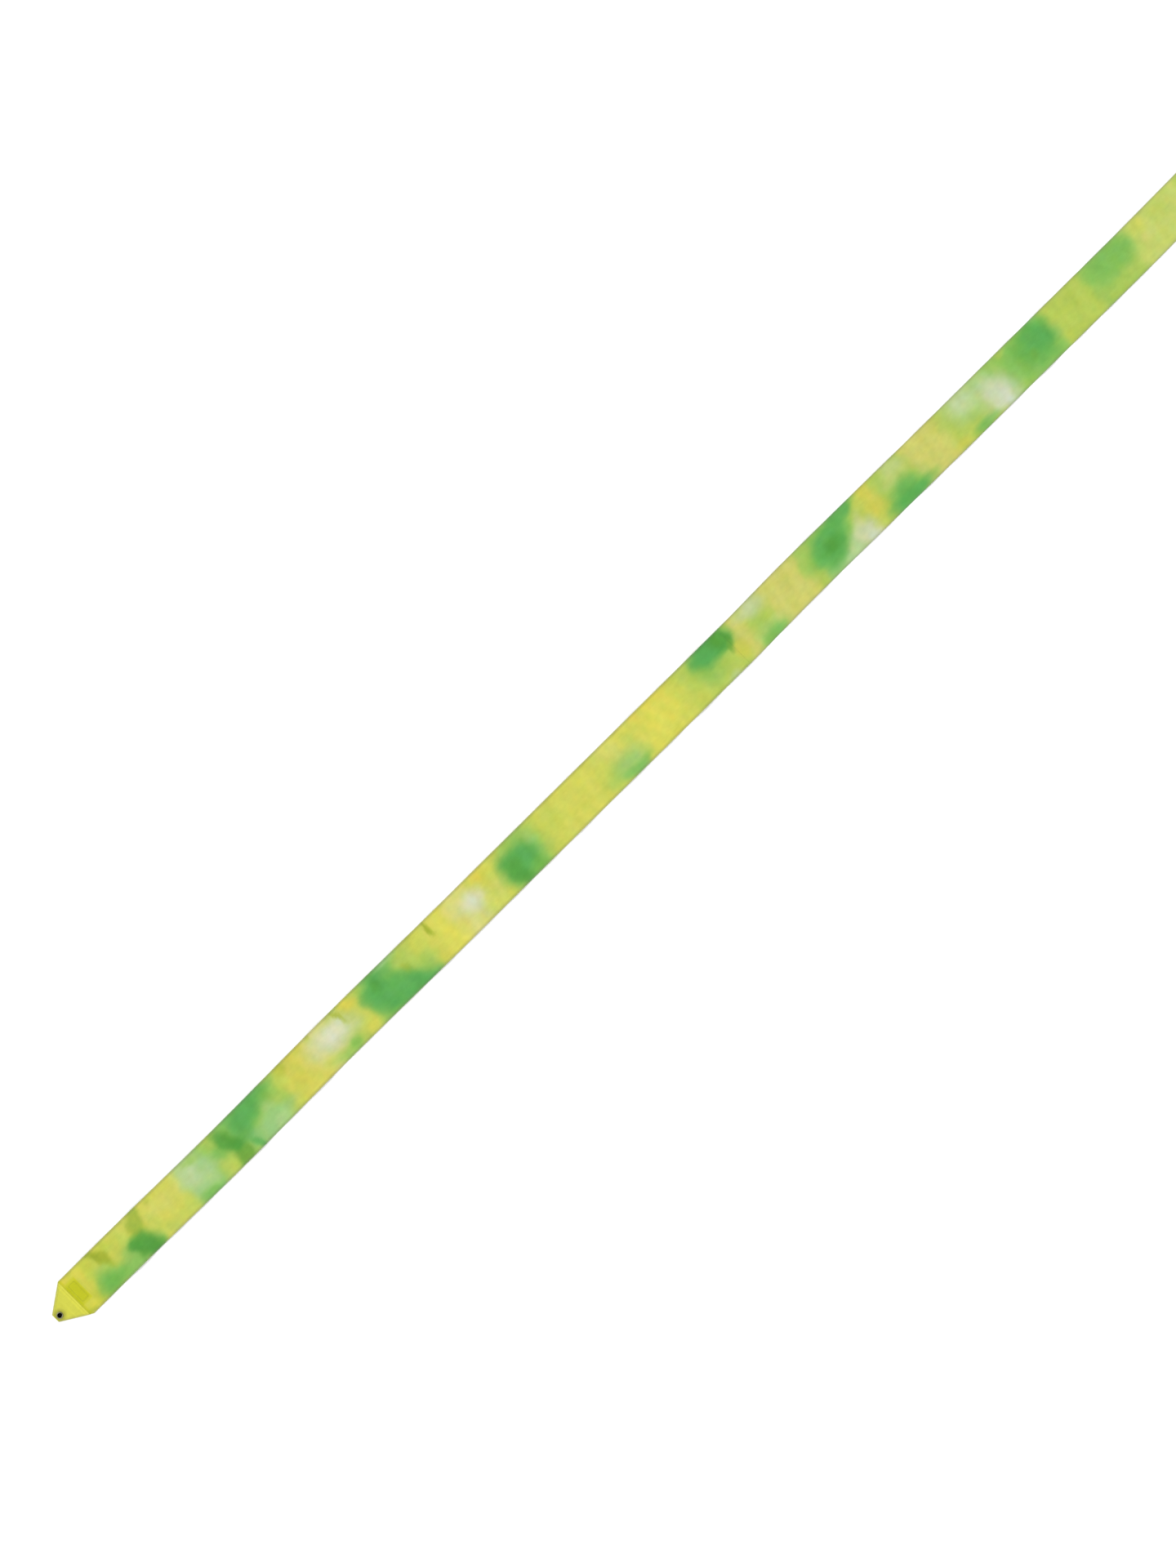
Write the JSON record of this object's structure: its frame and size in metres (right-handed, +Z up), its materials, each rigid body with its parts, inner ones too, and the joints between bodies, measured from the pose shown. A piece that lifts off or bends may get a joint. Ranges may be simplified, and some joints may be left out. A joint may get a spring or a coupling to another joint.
{
  "type": "rhythmic gymnastics ribbon",
  "caption": "Long flat tie-dyed satin ribbon for rhythmic gymnastics, with a tapered stiffened tab and a metal eyelet at the stick end and its far length rolled up.",
  "frame": {"origin": "on the resting surface, under the middle of the whole object's length and width", "axes": "+X runs along the ribbon from the eyelet tip to the roll, +Y across the ribbon to its left as seen from the tip looking along it, +Z up from the resting surface"},
  "size_m": [1.7564, 0.052, 0.0526],
  "materials": {
    "ribbon_satin": "satin, dyed in blurred patches of yellow, green, white and gold, with a denser edge",
    "leader_satin": "the same dyed satin, seen on the underside of the first metre",
    "tab_cloth": "plain yellow closely woven cloth, matt",
    "stiffener_webbing": "stiff ochre webbing",
    "eyelet_metal": "dull grey nickel, lightly worn",
    "sewing_thread": "twisted thread, dyed like the cloth it is sewn into"
  },
  "bodies": {
    "root": {"ribbon_laid": "ribbon_satin", "ribbon_roll": "ribbon_satin", "leader_layer": "leader_satin", "tip_tab_front": "tab_cloth", "tip_tab_back": "tab_cloth", "tip_stiffener": "stiffener_webbing", "eyelet_barrel": "eyelet_metal", "eyelet_washer": "eyelet_metal", "stitch_tab_edge": "sewing_thread", "stitch_shoulder": "sewing_thread", "stitch_tongue_box": "sewing_thread", "stitch_edge_left": "sewing_thread", "stitch_edge_right": "sewing_thread", "stitch_leader_end": "sewing_thread", "stitch_far_hem": "sewing_thread"}
  },
  "joints": []
}
